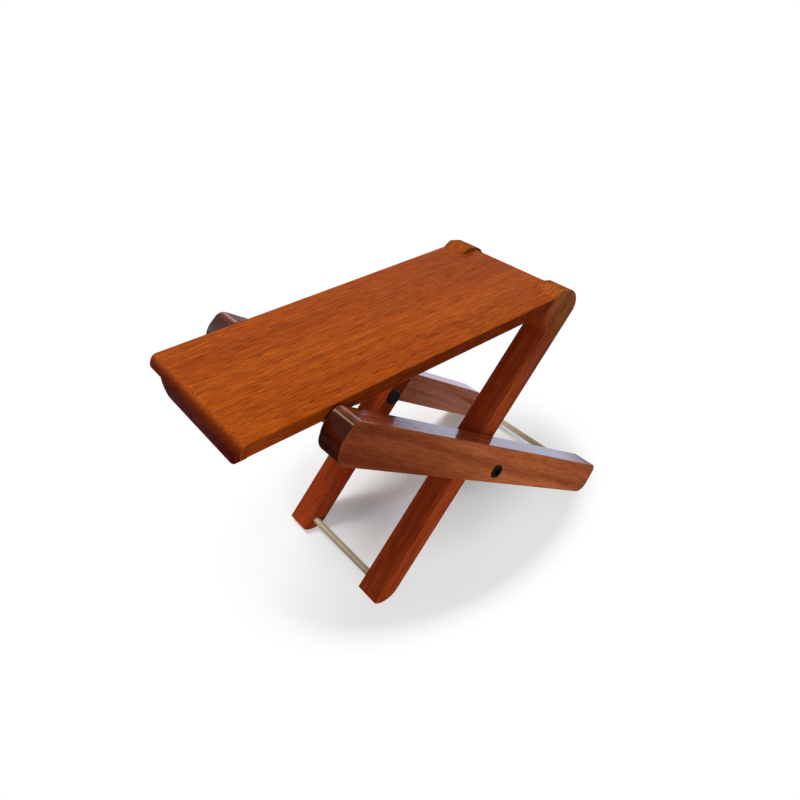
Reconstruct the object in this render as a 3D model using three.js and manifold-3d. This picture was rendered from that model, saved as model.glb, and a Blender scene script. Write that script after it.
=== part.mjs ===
/*
A folding wooden footrest: a board hinged on the heads of an inner pair of legs, and an outer pair
of legs that crosses them on two bolts. A steel rod between the outer legs' upper ends carries the
board in one of four notches of a rack under it.

Millimetres, +Z up. The board runs along X with its hinge end at +X, the rods run along Y.
The floor is z = 0 and the origin is the middle of the footprint. "right" is -Y, "left" is +Y.

The triangle of hinge axis, leg crossing and rest rod sets both legs' slopes, so the rest rod
stays under its notch whatever the sizes, and both pairs of feet then set the floor.
*/
import * as THREE from "three";
import { mergeVertices } from "three/addons/utils/BufferGeometryUtils.js";
import Module from "manifold-3d";

// Fits
const seatGap = 0.3; // between pieces that touch, and round a rod or bolt in its hole
const overrun = 3; // how far a cutting tool passes the face that it cuts
const woodEdge = 0.8; // eased edges of the legs, rack, rail and block
const curveSteps = 8; // half the steps of each round in an outline
const roundSides = 36; // sides of a turned piece

// Board
const boardWidth = 109;
const boardThickness = 8;
const boardReach = 246; // hinge axis to the free end
const noseLength = 6; // the free end rounds back by this much at the top
const tongueReach = 1.8; // hinge axis to the end between the leg heads
const boardTopRound = 1.2;
const boardUnderRound = 0.7;

// Inner legs: hinge axis and crossing lie on their centre line
const innerLegDepth = 14;
const innerLegThickness = 20;
const crossingToHinge = 115;
const crossingToToe = 123.5;
const headRound = 19.3; // the head's swell, centred on the hinge axis
const headProud = 3.2; // the head's ridge above the board's top
const headFall = 14; // degrees from the ridge down to the shoulder
const headShoulderRound = 11.2;

// Outer legs: sizes along the leg are measured from the crossing
const outerLegThickness = 19;
const outerNoseAbove = 18.2; // crossing line to the upper edge, at the nose
const outerFootAbove = 16.3; // and at the foot
const outerLegBelow = 9; // crossing to the lower edge
const outerNoseReach = 150.5;
const outerNoseSlope = 3.5; // how far the nose's corners lie behind its tip
const outerNoseTipDrop = 13; // upper edge down to the nose's tip
const outerNoseTipRound = 14;
const outerNoseTopRound = 6;
const outerNoseUnderRound = 9;
const outerFootReach = 138.2;
const outerFootTopRound = 5.5;
const outerFootRound = 9.5;
const legSpacing = 1.4; // inner leg to outer leg

// Rods
const rodDiameter = 5;
const rodChamfer = 0.5;
const rodHoleDepth = 14;
const innerFootRodInset = 10.5; // behind the toe
const innerFootRodRise = 2; // above the leg's centre line
const outerFootRodInset = 5.2; // behind the foot's end
const outerFootRodRise = 5;
const restRodInset = 12.5; // behind the nose's tip
const restRodRise = 4;

// Rack
const rackThickness = 5;
const rackHalfWidth = 33;
const notchPitch = 14;
const notchCount = 4;
const notchInUse = 1; // counted from the hinge end, from 0
const notchRadius = 2.9;
const notchCentreDrop = 1.1; // the notch's centre below the rack's teeth
const rackEndLength = 9; // past the first and last notch
const rackToRail = 10; // rack to end rail
const rackCornerRound = 1.5;

// Cross rails: one at the free end, one that closes the rack
const railThickness = 8;
const railHeight = 14;
const railHalfWidth = 45;
const railInset = 1.3; // behind the board's free end
const railCornerRound = 10;

// Hinge block
const blockHeight = 13.5;
const blockReach = 16; // hinge axis to its back
const blockNoseRound = 6.2;
const blockCornerRound = 2;

// Pivot hardware
const boltDiameter = 6;
const boltHeadDiameter = 10;
const boltHeadHeight = 6;
const boltHeadProud = 1;
const boltHeadChamfer = 0.6;
const boltSocketWidth = 5;
const boltSocketDepth = 3;
const washerDiameter = 14;
const nutDiameter = 12.6;
const nutHeight = 4.8;
const nutProud = 1.4; // the rest is let into the inner leg
const nutChamfer = 0.8;
const nutCapThickness = 1.2;
const boltEndChamfer = 0.6;

// Wood screws
const screwDiameter = 3;
const screwHeadDiameter = 6.4;
const screwHeadHeight = 2;
const screwTipLength = 2.5;
const screwCover = 2; // board left above a screw's tip
const blockScrewInset = 12.2; // each screw from the end of what it holds
const rackScrewInset = 11;
const railScrewInset = 23;
const blockScrewReach = 10.5; // hinge axis to the block's screws

// Derived places in the board's frame: hinge axis at the origin, board level
const rodRadius = rodDiameter / 2;
const innerFootRodReach = crossingToToe - innerFootRodInset;
const outerFootRodReach = outerFootReach - outerFootRodInset;
const restRodReach = outerNoseReach - restRodInset;
const rackFarReach = boardReach - railInset - railThickness - rackToRail;
const notchInUseReach = rackFarReach - rackEndLength - (notchCount - 1 - notchInUse) * notchPitch;
const halfLegDepth = innerLegDepth / 2;
const underside = halfLegDepth + seatGap;
const topFace = underside + boardThickness;
const rackTeeth = underside - seatGap - rackThickness;
const halfBoard = boardWidth / 2;
const innerLegFace = halfBoard - innerLegThickness;
const outerLegFace = halfBoard + legSpacing;
const outerFace = outerLegFace + outerLegThickness;
const nutEnd = innerLegFace - nutProud;
const nutSeat = nutEnd + nutHeight;
const blockHalfWidth = innerLegFace - seatGap;

const hinge = new THREE.Vector2(0, 0);
const restRod = new THREE.Vector2(-notchInUseReach, rackTeeth - seatGap - rodRadius);
const hingeToRest = restRod.length();
const crossingToRest = Math.hypot(restRodReach, restRodRise);
const angleAtHinge = Math.acos(
  (crossingToHinge ** 2 + hingeToRest ** 2 - crossingToRest ** 2) /
    (2 * crossingToHinge * hingeToRest)
);
const innerSlope = angleAtHinge + Math.atan2(-restRod.y, -restRod.x);
const innerAlong = new THREE.Vector2(Math.cos(innerSlope), Math.sin(innerSlope));
const crossing = hinge.clone().addScaledVector(innerAlong, -crossingToHinge);
const toRest = restRod.clone().sub(crossing);
const outerSlope = Math.atan2(toRest.y, -toRest.x) - Math.atan2(restRodRise, restRodReach);

const wasm = await Module();
wasm.setup();

const wood = { color: 0xb5682f, roughness: 0.38, metalness: 0 };
const legWood = { color: 0x8a4a26, roughness: 0.45, metalness: 0 };
const steel = { color: 0xd8d2c4, roughness: 0.3, metalness: 1 };
const black = { color: 0x1c1d1f, roughness: 0.4, metalness: 0.6 };
const zinc = { color: 0xa8a498, roughness: 0.4, metalness: 1 };

// A closed mesh as a solid
function solidOf(geometry) {
  const bare = geometry.clone();
  bare.deleteAttribute("normal");
  bare.deleteAttribute("uv");
  const merged = mergeVertices(bare);
  const index = merged.index.array;
  const triangles = [];
  for (let i = 0; i < index.length; i += 3) {
    const [a, b, c] = [index[i], index[i + 1], index[i + 2]];
    if (a !== b && b !== c && c !== a) triangles.push(a, b, c);
  }
  const mesh = new wasm.Mesh({
    numProp: 3,
    vertProperties: new Float32Array(merged.attributes.position.array),
    triVerts: new Uint32Array(triangles),
  });
  return new wasm.Manifold(mesh);
}

// The solid back as a geometry
function geometryOf(solid) {
  const mesh = solid.getMesh();
  const geometry = new THREE.BufferGeometry();
  geometry.setAttribute("position", new THREE.BufferAttribute(mesh.vertProperties, 3));
  geometry.setIndex(new THREE.BufferAttribute(mesh.triVerts, 1));
  geometry.computeVertexNormals();
  return geometry;
}

// The body with each tool cut out of it
function cut(body, tools) {
  return geometryOf(tools.reduce((solid, tool) => solid.subtract(solidOf(tool)), solidOf(body)));
}

// A corner with its rounding radius
const corner = (x, z, round = 0) => ({ at: new THREE.Vector2(x, z), round });

// Adds the corner to a path, rounded where its radius is not zero
function turnCorner(path, before, here, after) {
  if (here.round === 0) {
    path.lineTo(here.at.x, here.at.y);
    return;
  }
  const back = before.at.clone().sub(here.at).normalize();
  const ahead = after.at.clone().sub(here.at).normalize();
  const half = Math.acos(back.dot(ahead)) / 2;
  const centre = back.clone().add(ahead).normalize();
  centre.multiplyScalar(here.round / Math.sin(half)).add(here.at);
  const run = here.round / Math.tan(half);
  const first = back.multiplyScalar(run).add(here.at).sub(centre).angle();
  const last = ahead.multiplyScalar(run).add(here.at).sub(centre).angle();
  const clockwise = Math.sin(last - first) < 0;
  path.absarc(centre.x, centre.y, here.round, first, last, clockwise);
}

// A closed outline through the corners, each with its own rounding
function outline(corners) {
  const shape = new THREE.Shape();
  const startsAt = corners[0].at.clone().lerp(corners.at(-1).at, 0.5);
  shape.moveTo(startsAt.x, startsAt.y);
  corners.forEach((here, i) => {
    turnCorner(shape, corners.at(i - 1), here, corners[(i + 1) % corners.length]);
  });
  shape.closePath();
  return shape;
}

// An outline in X and Z, as wide as given along Y and centred there, with eased edges
function plank(shape, width, edge = 0) {
  const geometry = new THREE.ExtrudeGeometry(shape, {
    depth: width - 2 * edge,
    bevelEnabled: edge > 0,
    bevelThickness: edge,
    bevelSize: edge,
    bevelOffset: -edge,
    bevelSegments: 2,
    curveSegments: curveSteps,
  });
  geometry.translate(0, 0, edge - width / 2);
  return geometry.rotateX(Math.PI / 2);
}

// An outline in Y and Z, as long as given along X and centred there, with eased edges
function bar(shape, length, edge = 0) {
  return plank(shape, length, edge).rotateZ(Math.PI / 2);
}

// A piece turned about the Y axis from its outline of radius and height
function turned(profile) {
  const points = profile.map(([radius, height]) => new THREE.Vector2(radius, height));
  return new THREE.LatheGeometry(points, roundSides);
}

// A cylinder along Y between two places
function drill(radius, from, to) {
  const low = Math.min(from, to);
  const high = Math.max(from, to);
  return turned([[0, low], [radius, low], [radius, high], [0, high]]);
}

// A rod along Y with chamfered ends
function rod(length) {
  const end = length / 2;
  const shoulder = end - rodChamfer;
  const tip = rodRadius - rodChamfer;
  return turned([
    [0, -end], [tip, -end], [rodRadius, -shoulder], [rodRadius, shoulder], [tip, end], [0, end],
  ]);
}

function add(parent, name, geometry, look, x = 0, y = 0, z = 0) {
  const mesh = new THREE.Mesh(
    geometryOf(solidOf(geometry)),
    new THREE.MeshStandardMaterial(look)
  );
  mesh.name = name;
  mesh.position.set(x, y, z);
  parent.add(mesh);
  return mesh;
}

const SIDES = [["right", -1], ["left", 1]];

// A wood screw pointing up from its head's face at the origin, grown by a clearance for its hole
function screwProfile(length, clearance) {
  const head = screwHeadDiameter / 2 + clearance;
  const shank = screwDiameter / 2 + clearance;
  const end = length + clearance;
  const start = clearance > 0 ? -overrun : 0;
  const tipStart = end - screwTipLength;
  return [
    [0, start], [head, start], [head, clearance], [shank, screwHeadHeight + clearance],
    [shank, tipStart], [0, end],
  ];
}

const screw = (length) => turned(screwProfile(length, 0)).rotateX(Math.PI / 2);
const screwHole = (length) => turned(screwProfile(length, seatGap)).rotateX(Math.PI / 2);

// Inner legs

// Along the leg from the crossing, with the hinge on the centre line. The head swells round the
// hinge axis to a ridge proud of the board, and the foot is a heel round to a sharp toe.
function innerLegShape() {
  const toLeg = (x, z) =>
    new THREE.Vector2(x, z).rotateAround(hinge, -innerSlope).add(new THREE.Vector2(crossingToHinge, 0));
  const headTop = topFace + headProud;
  const ridgeReach = -Math.sqrt(headRound ** 2 - headTop ** 2);
  const ridge = toLeg(ridgeReach, headTop);
  const swellStart = crossingToHinge - Math.sqrt(headRound ** 2 - halfLegDepth ** 2);
  // where the falling top would meet the lower face
  const fall = Math.tan(THREE.MathUtils.degToRad(headFall));
  const rise = Math.cos(innerSlope);
  const reach =
    (halfLegDepth + (headTop + ridgeReach * fall) * rise) / (Math.sin(innerSlope) + fall * rise);
  const shoulder = {
    at: toLeg(reach, headTop - (reach - ridgeReach) * fall),
    round: headShoulderRound,
  };
  const heel = -crossingToToe + innerLegDepth;

  const shape = new THREE.Shape();
  shape.moveTo(-crossingToToe, halfLegDepth);
  shape.absarc(heel, halfLegDepth, innerLegDepth, Math.PI, 1.5 * Math.PI, false);
  turnCorner(shape, corner(heel, -halfLegDepth), shoulder, { at: ridge });
  shape.lineTo(ridge.x, ridge.y);
  const first = Math.atan2(ridge.y, ridge.x - crossingToHinge);
  const last = Math.atan2(halfLegDepth, swellStart - crossingToHinge);
  shape.absarc(crossingToHinge, 0, headRound, first, last, false);
  shape.closePath();
  return shape;
}

function innerLeg(side) {
  const half = innerLegThickness / 2;
  const inside = -side * (half + overrun);
  const holeEnd = -side * (half - rodHoleDepth);
  const hole = rodRadius + seatGap;
  const boltHole = boltDiameter / 2 + seatGap;
  const recess = nutDiameter / 2 + seatGap;
  const recessFloor = side * (nutSeat + seatGap - innerLegFace - half);
  return cut(plank(innerLegShape(), innerLegThickness, woodEdge), [
    drill(boltHole, -half - overrun, half + overrun),
    drill(recess, inside, recessFloor),
    drill(hole, inside, holeEnd).translate(crossingToHinge, 0, 0),
    drill(hole, inside, holeEnd).translate(-innerFootRodReach, 0, innerFootRodRise),
  ]);
}

const innerFrame = new THREE.Group();
innerFrame.position.set(crossing.x, 0, crossing.y);
innerFrame.rotation.y = -innerSlope;
for (const [name, side] of SIDES) {
  const y = side * (innerLegFace + innerLegThickness / 2);
  add(innerFrame, `inner_leg_${name}`, innerLeg(side), legWood, 0, y);
}
const innerRodLength = 2 * (innerLegFace + rodHoleDepth - seatGap);
add(innerFrame, "inner_foot_rod", rod(innerRodLength), steel, -innerFootRodReach, 0, innerFootRodRise);
add(innerFrame, "hinge_rod", rod(innerRodLength), steel, crossingToHinge);

// Outer legs

// Along the leg from the crossing, foot at +X
function outerLegShape() {
  const noseCorner = -outerNoseReach + outerNoseSlope;
  return outline([
    corner(noseCorner, -outerLegBelow, outerNoseUnderRound),
    corner(outerFootReach, -outerLegBelow, outerFootRound),
    corner(outerFootReach, outerFootAbove, outerFootTopRound),
    corner(noseCorner, outerNoseAbove, outerNoseTopRound),
    corner(-outerNoseReach, outerNoseAbove - outerNoseTipDrop, outerNoseTipRound),
  ]);
}

function outerLeg(side) {
  const half = outerLegThickness / 2;
  const inside = -side * (half + overrun);
  const holeEnd = -side * (half - rodHoleDepth);
  const hole = rodRadius + seatGap;
  const boltHole = boltDiameter / 2 + seatGap;
  const recess = boltHeadDiameter / 2 + seatGap;
  const recessFloor = side * (half - boltHeadHeight + boltHeadProud - seatGap);
  return cut(plank(outerLegShape(), outerLegThickness, woodEdge), [
    drill(boltHole, -half - overrun, half + overrun),
    drill(recess, recessFloor, side * (half + overrun)),
    drill(hole, inside, holeEnd).translate(-restRodReach, 0, restRodRise),
    drill(hole, inside, holeEnd).translate(outerFootRodReach, 0, outerFootRodRise),
  ]);
}

// Socket-head bolt along Y from the outer face of the right outer leg, head at -Y
function pivotBolt() {
  const head = boltHeadDiameter / 2;
  const shank = boltDiameter / 2;
  const top = -outerFace - boltHeadProud;
  const seat = top + boltHeadHeight;
  const end = -nutEnd - nutCapThickness - seatGap;
  const body = turned([
    [0, top], [head - boltHeadChamfer, top], [head, top + boltHeadChamfer], [head, seat],
    [shank, seat], [shank, end - boltEndChamfer], [shank - boltEndChamfer, end], [0, end],
  ]);
  const socketRadius = boltSocketWidth / Math.sqrt(3);
  const socket = new THREE.CylinderGeometry(
    socketRadius, socketRadius, boltSocketDepth + overrun, 6
  ).translate(0, top + (boltSocketDepth - overrun) / 2, 0);
  return cut(body, [socket]);
}

// Cap nut let into the inner face of the right inner leg
function pivotNut() {
  const radius = nutDiameter / 2;
  const hole = boltDiameter / 2 + seatGap;
  const seat = -nutSeat;
  const end = -nutEnd;
  return turned([
    [hole, seat], [radius, seat], [radius, end - nutChamfer], [radius - nutChamfer, end],
    [0, end], [0, end - nutCapThickness], [hole, end - nutCapThickness], [hole, seat],
  ]);
}

function pivotWasher() {
  const radius = washerDiameter / 2;
  const hole = boltDiameter / 2 + seatGap;
  const low = -outerLegFace + seatGap;
  const high = -halfBoard - seatGap;
  return turned([[hole, low], [radius, low], [radius, high], [hole, high], [hole, low]]);
}

const outerFrame = new THREE.Group();
outerFrame.position.set(crossing.x, 0, crossing.y);
outerFrame.rotation.y = outerSlope;
for (const [name, side] of SIDES) {
  const y = side * (outerLegFace + outerLegThickness / 2);
  const turn = side > 0 ? Math.PI : 0;
  add(outerFrame, `outer_leg_${name}`, outerLeg(side), legWood, 0, y);
  add(outerFrame, `pivot_bolt_${name}`, pivotBolt(), black).rotation.z = turn;
  add(outerFrame, `pivot_washer_${name}`, pivotWasher(), zinc).rotation.z = turn;
  add(outerFrame, `pivot_nut_${name}`, pivotNut(), black).rotation.z = turn;
}
const outerRodLength = 2 * (outerLegFace + rodHoleDepth - seatGap);
add(outerFrame, "rest_rod", rod(outerRodLength), steel, -restRodReach, 0, restRodRise);
add(outerFrame, "outer_foot_rod", rod(outerRodLength), steel, outerFootRodReach, 0, outerFootRodRise);

// Board and what is screwed to it

const blockBottom = underside - seatGap - blockHeight;
const rackLength = (notchCount - 1) * notchPitch + 2 * rackEndLength;
const rackScrewReach = notchInUseReach + notchPitch / 2;
const railFace = -boardReach + railInset;
const railScrewReach = boardReach - railInset - railThickness / 2;
const railBottom = underside - seatGap - railHeight;
const stopFace = rackLength - rackFarReach + seatGap;
const stopScrewReach = -stopFace - railThickness / 2;

// Each pair of screws: name, distance from the hinge axis, distance from the middle to each side,
// height of the face it starts from
const SCREWS = [
  ["hinge_screw", blockScrewReach, blockHalfWidth - blockScrewInset, blockBottom],
  ["rack_screw", rackScrewReach, rackHalfWidth - rackScrewInset, rackTeeth],
  ["rail_screw", railScrewReach, railHalfWidth - railScrewInset, railBottom],
  ["stop_screw", stopScrewReach, railHalfWidth - railScrewInset, railBottom],
];
const screwLength = (start) => topFace - screwCover - start;

// The holes of one pair of screws, in the board's frame
function pairHoles([, reach, spread, start]) {
  return SIDES.map(([, side]) =>
    screwHole(screwLength(start)).translate(-reach, side * spread, start)
  );
}

function topBoard() {
  const slab = solidOf(bar(outline([
    corner(-halfBoard, underside, boardUnderRound),
    corner(halfBoard, underside, boardUnderRound),
    corner(halfBoard, topFace, boardTopRound),
    corner(-halfBoard, topFace, boardTopRound),
  ]), 2 * boardReach));

  // seen from the side: square at the tongue, a quarter ellipse at the free end
  const side = new THREE.Shape();
  side.moveTo(tongueReach, underside);
  side.lineTo(tongueReach, topFace);
  side.lineTo(-boardReach + noseLength, topFace);
  side.absellipse(
    -boardReach + noseLength, underside, noseLength, boardThickness, Math.PI / 2, Math.PI, false
  );
  side.closePath();

  // the corners give way to the leg heads, along a wall that touches their swell
  const wall = headRound + seatGap;
  const wallAt = (z) => (z * Math.cos(innerSlope) - wall) / Math.sin(innerSlope);
  const low = underside - overrun;
  const high = topFace + overrun;
  const notch = outline([
    corner(wallAt(low), low), corner(tongueReach + overrun, low),
    corner(tongueReach + overrun, high), corner(wallAt(high), high),
  ]);
  const notchWidth = innerLegThickness + seatGap + overrun;
  const notches = SIDES.map(([, way]) =>
    plank(notch, notchWidth).translate(0, way * (innerLegFace - seatGap + notchWidth / 2), 0)
  );

  const board = slab.intersect(solidOf(plank(side, boardWidth + overrun)));
  return cut(geometryOf(board), [...notches, ...SCREWS.flatMap(pairHoles)]);
}

function rackStrip() {
  const top = underside - seatGap;
  const left = -rackFarReach;
  const right = left + rackLength;
  const shape = new THREE.Shape();
  shape.moveTo(left, top);
  const first = corner(left, rackTeeth, rackCornerRound);
  const last = corner(right, rackTeeth, rackCornerRound);
  turnCorner(shape, corner(left, top), first, last);
  const open = Math.asin(notchCentreDrop / notchRadius);
  for (let i = notchCount - 1; i >= 0; i -= 1) {
    const x = -notchInUseReach - (i - notchInUse) * notchPitch;
    shape.absarc(x, rackTeeth - notchCentreDrop, notchRadius, Math.PI - open, open, true);
  }
  turnCorner(shape, first, last, corner(right, top));
  shape.lineTo(right, top);
  shape.closePath();
  return cut(plank(shape, 2 * rackHalfWidth), pairHoles(SCREWS[1]));
}

// A cross strip from face towards the hinge, with the holes of one pair of screws
function crossRail(face, pair) {
  const top = underside - seatGap;
  const shape = outline([
    corner(-railHalfWidth, railBottom, railCornerRound),
    corner(railHalfWidth, railBottom, railCornerRound),
    corner(railHalfWidth, top),
    corner(-railHalfWidth, top),
  ]);
  const rail = bar(shape, railThickness, woodEdge);
  rail.translate(face + railThickness / 2, 0, 0);
  return cut(rail, pairHoles(pair));
}

function hingeBlock() {
  const top = underside - seatGap;
  const shape = outline([
    corner(-blockReach, blockBottom, blockCornerRound),
    corner(blockNoseRound, blockBottom, blockNoseRound),
    corner(blockNoseRound, top),
    corner(-blockReach, top),
  ]);
  return cut(plank(shape, 2 * blockHalfWidth, woodEdge), [
    drill(rodRadius + seatGap, -blockHalfWidth - overrun, blockHalfWidth + overrun),
    ...pairHoles(SCREWS[0]),
  ]);
}

const board = new THREE.Group();
add(board, "top_board", topBoard(), wood);
add(board, "rack_strip", rackStrip(), legWood);
add(board, "end_rail", crossRail(railFace, SCREWS[2]), legWood);
add(board, "stop_rail", crossRail(stopFace, SCREWS[3]), legWood);
add(board, "hinge_block", hingeBlock(), legWood);
for (const [pair, reach, spread, start] of SCREWS) {
  for (const [name, side] of SIDES) {
    add(board, `${pair}_${name}`, screw(screwLength(start)), zinc, -reach, side * spread, start);
  }
}

// Stand the assembly on its feet

// The floor touches the inner legs' heel rounds and the outer legs' foot rounds
const heelCentre = new THREE.Vector3(-crossingToToe + innerLegDepth, 0, halfLegDepth);
const footCentre = new THREE.Vector3(outerFootReach - outerFootRound, 0, outerFootRound - outerLegBelow);
innerFrame.updateMatrix();
outerFrame.updateMatrix();
heelCentre.applyMatrix4(innerFrame.matrix);
footCentre.applyMatrix4(outerFrame.matrix);
const span = footCentre.clone().sub(heelCentre);
const tilt = Math.atan2(span.z, span.x) - Math.asin((outerFootRound - innerLegDepth) / span.length());

const assembly = new THREE.Group();
assembly.add(innerFrame, outerFrame, board);
assembly.rotation.y = tilt;

const footrest = new THREE.Group();
footrest.name = "guitar_footrest";
footrest.add(assembly);
footrest.updateMatrixWorld(true);
const box = new THREE.Box3().setFromObject(assembly, true);
assembly.position.set(-(box.min.x + box.max.x) / 2, 0, -box.min.z);

export default footrest;
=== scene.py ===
"""Looks of a folding wooden footrest: lacquered wood, steel rods, black bolts, pale floor."""

import math

import bpy
from mathutils import Matrix, Vector

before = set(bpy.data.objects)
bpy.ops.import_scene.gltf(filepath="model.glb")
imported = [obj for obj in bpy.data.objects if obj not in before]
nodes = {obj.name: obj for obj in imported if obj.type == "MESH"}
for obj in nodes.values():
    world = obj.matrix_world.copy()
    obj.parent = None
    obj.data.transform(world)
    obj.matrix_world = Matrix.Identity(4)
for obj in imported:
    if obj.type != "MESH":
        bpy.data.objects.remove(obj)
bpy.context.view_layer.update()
scene = bpy.context.scene


# Node helpers: each adds to a tree, and hands back the socket to go on from


def node(tree, kind, inputs=None, **settings):
    """Adds a node. An input that is a socket is linked, and any other value is set."""
    made = tree.nodes.new(kind)
    for key, value in settings.items():
        setattr(made, key, value)
    for key, value in (inputs or {}).items():
        plug(tree, made.inputs[key], value)
    return made


def plug(tree, socket, value):
    if isinstance(value, bpy.types.NodeSocket):
        tree.links.new(value, socket)
    else:
        socket.default_value = value


def new_material(name):
    material = bpy.data.materials.new(name)
    material.use_nodes = True
    material.node_tree.nodes.clear()
    return material, material.node_tree


def grey(value):
    return (value, value, value, 1)


def ramp(tree, fac, stops):
    """Colour ramp from pairs of place and colour."""
    made = node(tree, "ShaderNodeValToRGB", {"Fac": fac})
    elements = made.color_ramp.elements
    while len(elements) < len(stops):
        elements.new(0.5)
    for element, (place, colour) in zip(elements, stops):
        element.position = place
        element.color = colour if len(colour) == 4 else (*colour, 1)
    return made.outputs["Color"]


def mix(tree, fac, a, b, blend="MIX"):
    """Mixes two colours. The Mix node's colour sockets share their names, so they go by number."""
    made = node(tree, "ShaderNodeMix", data_type="RGBA", blend_type=blend)
    for index, value in ((0, fac), (6, a), (7, b)):
        plug(tree, made.inputs[index], value)
    return made.outputs[2]


def maths(tree, operation, a, b=0.0):
    return node(tree, "ShaderNodeMath", {0: a, 1: b}, operation=operation).outputs[0]


def multiply(tree, a, b):
    return maths(tree, "MULTIPLY", a, b)


def vector_maths(tree, operation, a, b):
    made = node(tree, "ShaderNodeVectorMath", {0: a, 1: b}, operation=operation)
    return made.outputs["Vector"]


def dot(tree, a, b):
    made = node(tree, "ShaderNodeVectorMath", {0: a, 1: b}, operation="DOT_PRODUCT")
    return made.outputs["Value"]


def length(tree, vector):
    made = node(tree, "ShaderNodeVectorMath", {0: vector}, operation="LENGTH")
    return made.outputs["Value"]


def component(tree, vector, axis):
    return node(tree, "ShaderNodeSeparateXYZ", {0: vector}).outputs[axis]


def smooth_range(tree, value, start, finish, low=0.0, high=1.0):
    """Goes softly from low to high while value goes from start to finish."""
    made = node(tree, "ShaderNodeMapRange", {0: value, 1: start, 2: finish, 3: low, 4: high},
                interpolation_type="SMOOTHSTEP")
    return made.outputs[0]


def noise(tree, coords, waves, detail=2.0, roughness=0.5):
    """Noise with its own number of waves per metre on each axis."""
    stretched = vector_maths(tree, "MULTIPLY", coords, waves)
    made = node(tree, "ShaderNodeTexNoise", {"Vector": stretched, "Scale": 1.0, "Detail": detail,
                                             "Roughness": roughness, "Distortion": 0.0})
    return made.outputs["Fac"]


def bump(tree, height, strength, distance):
    made = node(tree, "ShaderNodeBump",
                {"Height": height, "Strength": strength, "Distance": distance})
    return made.outputs["Normal"]


def mix_shader(tree, share, a, b):
    return node(tree, "ShaderNodeMixShader", {0: share, 1: a, 2: b}).outputs[0]


def glow(tree, kind, colour, strength):
    """Emission for a surface, or Background for the world."""
    return node(tree, kind, {"Color": colour, "Strength": strength}).outputs[0]


def ray_kinds(tree):
    """Whether a ray comes from the camera or through glass, and whether it is a reflection."""
    path = node(tree, "ShaderNodeLightPath")
    seen = maths(tree, "MAXIMUM", path.outputs["Is Camera Ray"],
                 path.outputs["Is Transmission Ray"])
    return seen, path.outputs["Is Glossy Ray"]


# Wood: growth rings round a far pith, ribbon bands, streaks, short dashes, fine lines and pores

# Waves per metre along the grain and across it, on both cross axes
WANDER_WAVES = (8, 16, 16)
UNEVEN_WAVES = (3, 45, 45)
BAND_WAVES = (3, 42, 42)
FINE_WAVES = (170, 1500, 1500)
PORE_WAVES = (130, 1900, 1900)
PORE_GROUP_WAVES = (10, 70, 70)
WEAR_AND_HIGHLIGHT_WAVES = (120, 260, 260)
LACQUER_WAVES = (90, 260, 260)

# Tints by the value of a pattern, from its dark lines over plain wood to its light lines
RING_TINTS = ((0.0, (0.66, 0.56, 0.52)), (0.35, grey(1.0)), (1.0, grey(1.10)))
STREAK_TINTS = ((0.32, (0.68, 0.52, 0.40)), (0.52, grey(1.0)), (0.72, (1.20, 1.30, 1.50)))
DASH_TINTS = ((0.34, (0.60, 0.42, 0.26)), (0.50, grey(1.0)), (0.68, (1.26, 1.42, 1.80)))
FINE_TINTS = ((0.34, (0.70, 0.56, 0.45)), (0.52, grey(1.0)), (0.72, (1.14, 1.2, 1.3)))
FINE_MIX = 0.6

TONE_PLACES = (0.30, 0.50, 0.70)  # where the bands have the dark, middle and light tone
PORE_STOPS = ((0.61, grey(0)), (0.69, grey(1)))
PORE_GROUP_STOPS = ((0.35, grey(0.2)), (0.65, grey(1)))
PORE_SHADE = 0.30  # of the dark tone

RING_FLATTEN = (0.04, 1, 1)  # draws the rings out along the grain
RING_UNEVEN = 5.0  # radians

END_FACING = (0.45, 0.97)  # how squarely a surface looks along the grain
SIDE_FACING = (0.55, 0.95)  # how squarely it looks along Y

EDGE_RADIUS = 0.0012
EDGE_SAMPLES = 8
EDGE_STOPS = ((0.86, grey(1)), (0.995, grey(0)))
WEAR_AND_HIGHLIGHT_STOPS = ((0.40, grey(0)), (0.72, grey(0.55)))
# Edges are lighter by wear, and the same lightening paints a highlight along them
RUB_AND_HIGHLIGHT_LIGHTENS = 1.9  # times the light tone

# Share of the lacquer that is missing on edges, end grain and sides
THIN_EDGE = 0.85
THIN_END = 0.35
THIN_SIDE = 0.8

WOOD_IOR = 1.48
FINE_ROUGHENS = 0.14
PORE_ROUGHENS = 0.2
FINE_HEIGHT = 0.3  # beside pores one deep
GRAIN_BUMP = (0.20, 0.0004)  # strength, and distance in metres
LACQUER_BUMP = (0.16, 0.0006)


def grain_space(tree, coords, slope, shift, wander):
    """Coordinates with X along the grain: straight, and with a slow wander of the lines."""
    turned = node(
        tree,
        "ShaderNodeMapping",
        {"Vector": coords, "Location": shift, "Rotation": (0, math.radians(-slope), 0)},
        vector_type="POINT",
    ).outputs["Vector"]
    drift = maths(tree, "SUBTRACT", noise(tree, turned, WANDER_WAVES), 0.5)
    drift = multiply(tree, drift, wander)
    push = node(tree, "ShaderNodeCombineXYZ", {1: drift, 2: drift}).outputs[0]
    return turned, vector_maths(tree, "ADD", turned, push)


def growth_rings(tree, grain, pith, ring_scale):
    """Rings from 0 to 1, uneven from ring to ring."""
    across = vector_maths(tree, "SUBTRACT", grain, pith)
    radius = length(tree, vector_maths(tree, "MULTIPLY", across, RING_FLATTEN))
    uneven = noise(tree, grain, UNEVEN_WAVES, detail=3, roughness=0.6)
    uneven = multiply(tree, uneven, RING_UNEVEN)
    phase = maths(tree, "ADD", multiply(tree, radius, ring_scale), uneven)
    return maths(tree, "ADD", multiply(tree, maths(tree, "SINE", phase), 0.5), 0.5)


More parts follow.
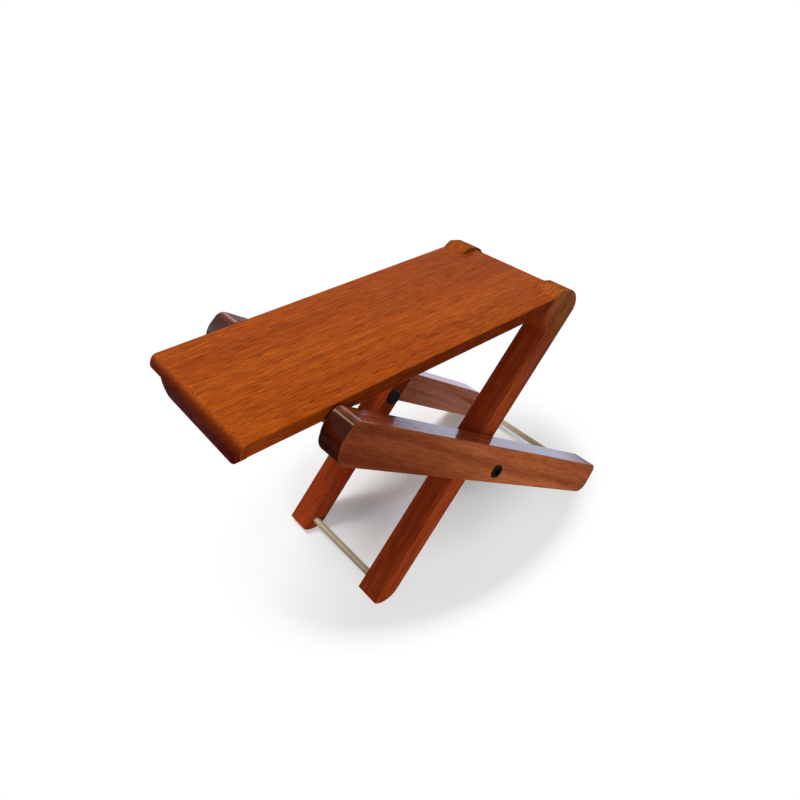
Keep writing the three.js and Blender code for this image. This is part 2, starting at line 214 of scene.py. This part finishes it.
def grain_colour(tree, grain, fine, tones, pith, look):
    """Bands of the three tones, tinted by rings, streaks, dashes and fine lines."""
    bands = noise(tree, grain, BAND_WAVES, detail=3, roughness=0.55)
    base = ramp(tree, bands, list(zip(TONE_PLACES, tones)))
    rings = growth_rings(tree, grain, pith, look["ring_scale"])
    streaks = noise(tree, grain, look["streak"], detail=3, roughness=0.6)
    dashes = noise(tree, grain, look["dash"], detail=2, roughness=0.55)
    patterns = (
        (rings, look["ring_mix"], RING_TINTS),
        (streaks, look["streak_mix"], STREAK_TINTS),
        (dashes, look["dash_mix"], DASH_TINTS),
        (fine, FINE_MIX, FINE_TINTS),
    )
    for pattern, share, tints in patterns:
        base = mix(tree, share, base, ramp(tree, pattern, tints), "MULTIPLY")
    return base


def pore_lines(tree, grain):
    """Short lines along the grain, in loose groups."""
    lines = noise(tree, grain, PORE_WAVES, detail=1, roughness=0.4)
    lines = ramp(tree, lines, PORE_STOPS)
    groups = ramp(tree, noise(tree, grain, PORE_GROUP_WAVES), PORE_GROUP_STOPS)
    return mix(tree, 1.0, lines, groups, "MULTIPLY")


def end_grain(tree, normal, slope, strength):
    along = (math.cos(math.radians(slope)), 0, -math.sin(math.radians(slope)))
    facing = maths(tree, "ABSOLUTE", dot(tree, normal, along))
    return smooth_range(tree, facing, *END_FACING, 0.0, strength)


def side_grain(tree, normal):
    facing = maths(tree, "ABSOLUTE", component(tree, normal, "Y"))
    return smooth_range(tree, facing, *SIDE_FACING)


def edges(tree):
    """1 where the surface turns round an edge."""
    rounded = node(tree, "ShaderNodeBevel", {"Radius": EDGE_RADIUS}, samples=EDGE_SAMPLES)
    flat = node(tree, "ShaderNodeNewGeometry").outputs["True Normal"]
    return ramp(tree, dot(tree, rounded.outputs["Normal"], flat), EDGE_STOPS)


def stained_and_shaded(tree, base, coords, end, sides, look):
    """End grain takes the stain in its own way; the sides get a painted shade, and a tint along X
    paints shade on the board and outer legs.
    """
    base = mix(tree, end, base, (*look["end_tone"], 1), "MULTIPLY")
    along = component(tree, coords, "X")
    # Painted shade: faces that look along Y are darkened, by a share that changes along X
    sides = multiply(tree, sides, smooth_range(tree, along, *look["side"]))
    base = mix(tree, sides, base, (*look["side_shade_tone"], 1), "MULTIPLY")
    # A tint along X: painted shade on the board and the outer legs, lighter heads on the inner
    # legs
    x_fade = smooth_range(tree, along, *look["x_fade"])
    return mix(tree, x_fade, base, (*look["x_fade_tone"], 1), "MULTIPLY")


def rubbed_and_highlit(tree, base, turned, edge, light):
    """Handled edges are rubbed lighter in patches, and the same lightening paints a highlight
    along them.
    """
    wear_and_highlight = noise(tree, turned, WEAR_AND_HIGHLIGHT_WAVES, detail=3, roughness=0.6)
    wear_and_highlight = ramp(tree, wear_and_highlight, WEAR_AND_HIGHLIGHT_STOPS)
    tone = (*(min(1, channel * RUB_AND_HIGHLIGHT_LIGHTENS) for channel in light), 1)
    return mix(tree, multiply(tree, edge, wear_and_highlight), base, tone)


def lacquer(tree, edge, end, sides, strength):
    """The lacquer is thinner on worn edges, on the sides and where end grain drinks it."""
    thin = maths(tree, "MAXIMUM", multiply(tree, edge, THIN_EDGE), multiply(tree, end, THIN_END))
    thin = maths(tree, "MAXIMUM", thin, multiply(tree, sides, THIN_SIDE))
    return multiply(tree, maths(tree, "SUBTRACT", 1.0, thin), strength)


def wood(name, slope, tones, shift, pith, look):
    """Lacquered wood whose grain slopes by so many degrees about Y.

    tones are dark, middle and light; shift moves the pattern, so that no two pieces are alike;
    pith is its place across the grain, in metres.
    """
    material, tree = new_material(name)
    texture = node(tree, "ShaderNodeTexCoord")
    coords, normal = texture.outputs["Object"], texture.outputs["Normal"]
    turned, grain = grain_space(tree, coords, slope, shift, look["wander"])
    fine = noise(tree, grain, FINE_WAVES, detail=3, roughness=0.65)
    pores = pore_lines(tree, grain)
    end = end_grain(tree, normal, slope, look["end"])
    sides = side_grain(tree, normal)
    edge = edges(tree)

    dark, _, light = tones
    pore_tone = (*(channel * PORE_SHADE for channel in dark), 1)
    base = grain_colour(tree, grain, fine, tones, pith, look)
    base = mix(tree, multiply(tree, pores, look["pores"]), base, pore_tone)
    base = stained_and_shaded(tree, base, coords, end, sides, look)
    base = rubbed_and_highlit(tree, base, turned, edge, light)

    rough = maths(tree, "ADD", multiply(tree, fine, FINE_ROUGHENS), look["roughness"])
    rough = maths(tree, "ADD", rough, multiply(tree, pores, PORE_ROUGHENS))
    height = maths(tree, "SUBTRACT", multiply(tree, fine, FINE_HEIGHT), pores)
    shader = node(
        tree,
        "ShaderNodeBsdfPrincipled",
        {
            "Base Color": base,
            "Roughness": rough,
            "Normal": bump(tree, height, *GRAIN_BUMP),
            "IOR": WOOD_IOR,
            "Specular IOR Level": look["specular"],
            "Coat Weight": lacquer(tree, edge, end, sides, look["coat"]),
            "Coat Roughness": look["coat_rough"],
            "Coat IOR": look["coat_ior"],
            "Coat Normal": bump(tree, noise(tree, grain, LACQUER_WAVES), *LACQUER_BUMP),
        },
    )
    node(tree, "ShaderNodeOutputMaterial", {"Surface": shader.outputs[0]})
    return material


# Metal: fine lines and a cloudy gloss

CLOUD_WAVES = (180, 60, 180)
CLOUD_ROUGHENS = 0.20
LINE_PLACES = (0.30, 0.70)
LINE_BUMP = (0.05, 0.0001)  # strength, and distance in metres


def metal(name, colour, roughness, waves, streak, metallic=1.0):
    """Drawn or turned metal. Its lines are long on the axis where waves is small."""
    material, tree = new_material(name)
    coords = node(tree, "ShaderNodeTexCoord").outputs["Object"]
    lines = noise(tree, coords, waves)
    tint = ramp(tree, lines, list(zip(LINE_PLACES, (grey(1 - streak), grey(1.0)))))
    cloud = noise(tree, coords, CLOUD_WAVES, detail=3, roughness=0.6)
    shader = node(
        tree,
        "ShaderNodeBsdfPrincipled",
        {
            "Base Color": mix(tree, 1.0, (*colour, 1), tint, "MULTIPLY"),
            "Roughness": maths(tree, "ADD", multiply(tree, cloud, CLOUD_ROUGHENS), roughness),
            "Metallic": metallic,
            "Normal": bump(tree, lines, *LINE_BUMP),
        },
    )
    node(tree, "ShaderNodeOutputMaterial", {"Surface": shader.outputs[0]})
    return material


# The woods. Tones are dark, middle and light, in linear colour.

BOARD_TONES = ((0.365, 0.066, 0.0030), (0.415, 0.079, 0.0040), (0.460, 0.096, 0.0065))
OUTER_TONES = ((0.390, 0.092, 0.0230), (0.550, 0.145, 0.0380), (0.670, 0.194, 0.058))
INNER_TONES = ((0.255, 0.033, 0.0085), (0.355, 0.054, 0.0135), (0.460, 0.084, 0.022))
RAIL_TONES = ((0.250, 0.026, 0.0085), (0.400, 0.043, 0.0130), (0.560, 0.074, 0.021))

# What a look says:
#   wander            how far the lines stray, in metres
#   ring_scale        radians of ring pattern per metre from the pith
#   streak, dash      waves per metre along the grain and on both axes across it
#   ..._mix, pores    the share of each pattern
#   end, end_tone     the stain's share and tint on end grain
#    side, side_shade_tone   the painted shade on the sides: where it starts and ends on X, its share at both
#    x_fade, x_fade_tone a tint along X: where it starts and ends on X, and its tint
BOARD_LOOK = {
    "wander": 0.002,
    "ring_scale": 1500, "ring_mix": 0.12,
    "streak": (5, 430, 430), "streak_mix": 0.42,
    "dash": (80, 1500, 1500), "dash_mix": 0.80,
    "pores": 0.90,
    "roughness": 0.34, "specular": 0.07,
    "coat": 0.06, "coat_rough": 0.22, "coat_ior": 1.5,
    "end": 0.85, "end_tone": (0.30, 0.13, 0.08),
    # Painted shade: the sides are darkened, and the board is tinted darker towards the hinge end
    # (+X)
    "side": (-0.13, -0.04, 0.55, 1.0), "side_shade_tone": (0.42, 0.30, 0.40),
    "x_fade": (0.03, 0.11), "x_fade_tone": (0.93, 0.85, 0.85),
}
OUTER_LOOK = {
    "wander": 0.006,
    "ring_scale": 700, "ring_mix": 0.55,
    "streak": (7, 150, 150), "streak_mix": 0.60,
    "dash": (60, 620, 620), "dash_mix": 0.35,
    "pores": 0.30,
    "roughness": 0.26, "specular": 0.10,
    "coat": 1.0, "coat_rough": 0.10, "coat_ior": 1.9,
    "end": 0.95, "end_tone": (0.20, 0.09, 0.07),
    "side": (0.0, 1.0, 0.0, 0.0), "side_shade_tone": (1.0, 1.0, 1.0),
    # Painted shade: the legs, and the pieces that share this look, are tinted darker towards the
    # upper end (-X), under the board
    "x_fade": (0.08, -0.10), "x_fade_tone": (0.42, 0.34, 0.38),
}
INNER_LOOK = {
    **OUTER_LOOK,
    "ring_mix": 0.25, "streak_mix": 0.45, "dash_mix": 0.45,
    "specular": 0.0,
    "coat": 0.03, "coat_ior": 1.5,
    "end_tone": (1.0, 1.1, 0.8),
    # Painted shade on the sides near the heads; the heads themselves are tinted lighter and
    # yellower
    "side": (0.03, 0.10, 0.0, 0.9), "side_shade_tone": (0.62, 0.88, 1.50),
    "x_fade": (0.085, 0.10), "x_fade_tone": (1.05, 1.60, 1.30),
}
RAIL_LOOK = {**OUTER_LOOK, "coat": 0.10, "coat_ior": 1.5, "end": 0.0}

# Slopes of the grain in the rest pose, in degrees about Y. The rails' grain lies level, and the
# outer legs' grain runs a little across their length.
INNER_SLOPE = -44.826
OUTER_SLOPE = 36.819 + 4
BOARD_SLOPE = 1.702
RAIL_SLOPE = 0

LEFT_SHIFT = 0.41  # moves the pattern of the left legs away from that of the right legs

SHARP_ANGLE = 32  # degrees above which an edge stays sharp


def dress(name, material):
    mesh = nodes[name].data
    mesh.materials.clear()
    mesh.materials.append(material)
    mesh.polygons.foreach_set("use_smooth", [True] * len(mesh.polygons))
    mesh.update()


def keep_corners_sharp(obj):
    """Shades rounds smooth and corners sharp, with the mesh as it is."""
    modifier = obj.modifiers.new("edges", "EDGE_SPLIT")
    modifier.split_angle = math.radians(SHARP_ANGLE)
    modifier.use_edge_sharp = False


def dress_wood():
    """Each wood is given by its slope, tones, shift, pith and look."""
    dress("top_board", wood("board wood", BOARD_SLOPE, BOARD_TONES, (0.31, 0.02, 0.11),
                            (0, -0.14, -0.30), BOARD_LOOK))
    dress("rack_strip", wood("rack wood", BOARD_SLOPE, OUTER_TONES, (0.7, 0.3, 0.2),
                             (0, -0.02, -0.1), OUTER_LOOK))
    dress("hinge_block", wood("block wood", BOARD_SLOPE, INNER_TONES, (0.5, 0.1, 0.6),
                              (0, 0.02, 0.08), INNER_LOOK))
    for side, shift in (("right", 0.0), ("left", LEFT_SHIFT)):
        dress(f"inner_leg_{side}",
              wood(f"inner leg wood {side}", INNER_SLOPE, INNER_TONES,
                   (shift, 0.17 + shift, 0.05), (0, -0.07, 0.09), INNER_LOOK))
        dress(f"outer_leg_{side}",
              wood(f"outer leg wood {side}", OUTER_SLOPE, OUTER_TONES,
                   (0.13 + shift, 0.05, shift), (0, 0.05, 0.12), OUTER_LOOK))
    dress("end_rail", wood("rail wood", RAIL_SLOPE, RAIL_TONES, (0.2, 0.7, 0.4),
                           (0, 0.03, 0.06), RAIL_LOOK))
    dress("stop_rail", wood("stop wood", RAIL_SLOPE, OUTER_TONES, (0.6, 0.2, 0.9),
                            (0, 0.04, 0.05), RAIL_LOOK))


def dress_metal():
    """Each metal is given by its colour, roughness, waves, depth of streak and metallic."""
    steel = metal("drawn steel", (0.95, 0.85, 0.65), 0.30, (900, 8, 900), 0.18, 0.45)
    black = metal("black oxide", (0.045, 0.042, 0.040), 0.30, (500, 500, 500), 0.3, 0.7)
    zinc = metal("zinc", (0.62, 0.60, 0.55), 0.28, (700, 700, 700), 0.25)
    for name in ("inner_foot_rod", "hinge_rod", "outer_foot_rod", "rest_rod"):
        dress(name, steel)
    for side in ("right", "left"):
        dress(f"pivot_bolt_{side}", black)
        dress(f"pivot_nut_{side}", black)
        dress(f"pivot_washer_{side}", zinc)
        for pair in ("hinge", "rack", "rail", "stop"):
            dress(f"{pair}_screw_{side}", zinc)


# Floor

FLOOR_SIZE = 12.0
FLOOR_GAP = 0.0002  # below the feet
FLOOR_SEEN = (0.91, 0.95, 0.985, 1)  # its colour to the camera
FLOOR_BOUNCE = 0.5  # its grey to the light that it sends back
FLOOR_LIFT = 0.08  # light added to its shadows, to the camera alone

# Ellipses on the floor, as offset and scale: the distance from the middle is 1 at the rim
SHADOW_ELLIPSE = ((-0.18, -0.10, 0), (6.8, 9.5, 1))
SHADOW_FADE = (0.72, 1.22)
# Outward from the core of the shadow, up to 0.6 of the white glow mixes in: painted light that
# lightens the shadow
SHADOW_LIFT_ELLIPSE = ((-0.50, -0.60, 0), (10.0, 14.0, 1))
SHADOW_LIFT_FADE = (0.60, 1.60, 0.0, 0.60)

SHEEN_COLOUR = (0.72, 0.77, 1.0, 1)
SHEEN_DIRECTION = (0.5, 0.87, 0)  # towards the back wall
SHEEN_RISE = (0.02, 0.09, 0.07, 1.0)
SHEEN_ALONG_X = ((0.0, 0.10, 0.08, 1.0), (0.33, 0.43, 1.0, 0.05))


def ellipse_distance(tree, place, offset, scale):
    spot = node(tree, "ShaderNodeMapping", {"Vector": place, "Location": offset, "Scale": scale})
    return length(tree, spot.outputs["Vector"])


def floor_sheen(tree, place):
    """Reflections see the floor bright towards the back wall and dimmer in front."""
    level = smooth_range(tree, dot(tree, place, SHEEN_DIRECTION), *SHEEN_RISE)
    along = component(tree, place, "X")
    for limits in SHEEN_ALONG_X:
        level = multiply(tree, level, smooth_range(tree, along, *limits))
    return glow(tree, "ShaderNodeEmission", SHEEN_COLOUR, level)


def stage_floor():
    """Pale floor: past the shadow it runs out to plain white for the camera."""
    bpy.ops.mesh.primitive_plane_add(size=FLOOR_SIZE, location=(0, 0, -FLOOR_GAP))
    floor = bpy.context.object
    floor.name = "floor"
    material, tree = new_material("pale floor")
    seen, glossy = ray_kinds(tree)
    place = node(tree, "ShaderNodeTexCoord").outputs["Object"]

    colour = mix(tree, seen, grey(FLOOR_BOUNCE), FLOOR_SEEN)
    lit = node(tree, "ShaderNodeBsdfDiffuse", {"Color": colour}).outputs[0]
    lift = glow(tree, "ShaderNodeEmission", grey(1.0), multiply(tree, seen, FLOOR_LIFT))
    lifted = node(tree, "ShaderNodeAddShader", {0: lit, 1: lift}).outputs[0]

    far = smooth_range(tree, ellipse_distance(tree, place, *SHADOW_ELLIPSE), *SHADOW_FADE)
    shadow_lift = smooth_range(tree, ellipse_distance(tree, place, *SHADOW_LIFT_ELLIPSE), *SHADOW_LIFT_FADE)
    share = multiply(tree, maths(tree, "MAXIMUM", far, shadow_lift), seen)
    white = glow(tree, "ShaderNodeEmission", grey(1.0), 1.0)
    plain = mix_shader(tree, share, lifted, white)
    surface = mix_shader(tree, glossy, plain, floor_sheen(tree, place))
    node(tree, "ShaderNodeOutputMaterial", {"Surface": surface})
    floor.data.materials.append(material)


# World

ROOM_COLOUR = (0.97, 0.98, 1.0, 1)
ROOM_LEVEL = 0.26
WALL_COLOUR = (0.94, 0.96, 1.0, 1)
CEILING_FADE = (0.15, 0.55, 1.0, 0.15)  # walls to ceiling, by height
WALL_DIRECTION = (0.8, 0.6, 0)
WALL_FADE = (-0.3, 0.3, 0.10, 1.0)


def stage_world():
    """White to the camera, an even dim room as light, and white walls in reflections."""
    world = bpy.data.worlds.new("studio")
    scene.world = world
    world.use_nodes = True
    tree = world.node_tree
    tree.nodes.clear()
    seen, glossy = ray_kinds(tree)
    place = node(tree, "ShaderNodeTexCoord").outputs["Generated"]

    room = glow(tree, "ShaderNodeBackground", ROOM_COLOUR, ROOM_LEVEL)
    white = glow(tree, "ShaderNodeBackground", grey(1.0), 1.0)
    level = multiply(tree, smooth_range(tree, component(tree, place, "Z"), *CEILING_FADE),
                     smooth_range(tree, dot(tree, place, WALL_DIRECTION), *WALL_FADE))
    walls = glow(tree, "ShaderNodeBackground", WALL_COLOUR, level)
    surface = mix_shader(tree, glossy, mix_shader(tree, seen, room, white), walls)
    node(tree, "ShaderNodeOutputWorld", {"Surface": surface})


# Lights: name, place, target, size in metres, watts, colour, and whether reflections show it

LIGHTS = (
    ("key", (-0.25, 0.50, 1.33), (0, 0, 0.05), 0.45, 11.8, (1.0, 0.985, 0.96), False),
    ("fill", (-0.35, -0.95, 0.32), (0.02, 0, 0.08), 0.5, 3.9, (1.0, 0.97, 0.91), False),
    ("rim", (-0.40, 1.02, 1.20), (-0.1, 0, 0.18), 0.42, 1.9, (1.0, 0.64, 0.30), True),
)


def area_light(name, place, target, size, power, colour, reflected):
    data = bpy.data.lights.new(name, "AREA")
    data.shape = "SQUARE"
    data.size = size
    data.energy = power
    data.color = colour
    light = bpy.data.objects.new(name, data)
    scene.collection.objects.link(light)
    light.location = place
    aim = Vector(target) - Vector(place)
    light.rotation_euler = aim.to_track_quat("-Z", "Y").to_euler()
    light.visible_glossy = reflected


# Camera, solved from points of the photograph

IMAGE = 800  # pixels, both ways
FOCAL = 693.801  # pixels
CENTRE = (397.878, 378.777)  # pixels, from the top left
AZIMUTH, ELEVATION, ROLL = (math.radians(degrees) for degrees in (-37.908, 36.033, -2.434))
CAMERA_PLACE = Vector((-234.435, -302.334, 411.807)) * 0.001  # from millimetres
SENSOR = 36  # millimetres
CLIP_START = 0.01


def camera_axes():
    """Right, up and back of the camera, after its roll."""
    back = Vector((math.sin(AZIMUTH) * math.cos(ELEVATION),
                   -math.cos(AZIMUTH) * math.cos(ELEVATION), math.sin(ELEVATION)))
    right = Vector((math.cos(AZIMUTH), math.sin(AZIMUTH), 0))
    up = back.cross(right)
    return (math.cos(ROLL) * right + math.sin(ROLL) * up,
            math.cos(ROLL) * up - math.sin(ROLL) * right, back)


def stage_camera():
    data = bpy.data.cameras.new("camera")
    data.sensor_width = SENSOR
    data.lens = SENSOR * FOCAL / IMAGE
    data.shift_x = (IMAGE / 2 - CENTRE[0]) / IMAGE
    data.shift_y = (CENTRE[1] - IMAGE / 2) / IMAGE
    data.clip_start = CLIP_START
    camera = bpy.data.objects.new("camera", data)
    scene.collection.objects.link(camera)
    turn = Matrix(camera_axes()).transposed().to_4x4()
    camera.matrix_world = Matrix.Translation(CAMERA_PLACE) @ turn
    scene.camera = camera


dress_wood()
dress_metal()
for obj in nodes.values():
    keep_corners_sharp(obj)
stage_floor()
stage_world()
for light in LIGHTS:
    area_light(*light)
stage_camera()
scene.view_settings.view_transform = "Standard"
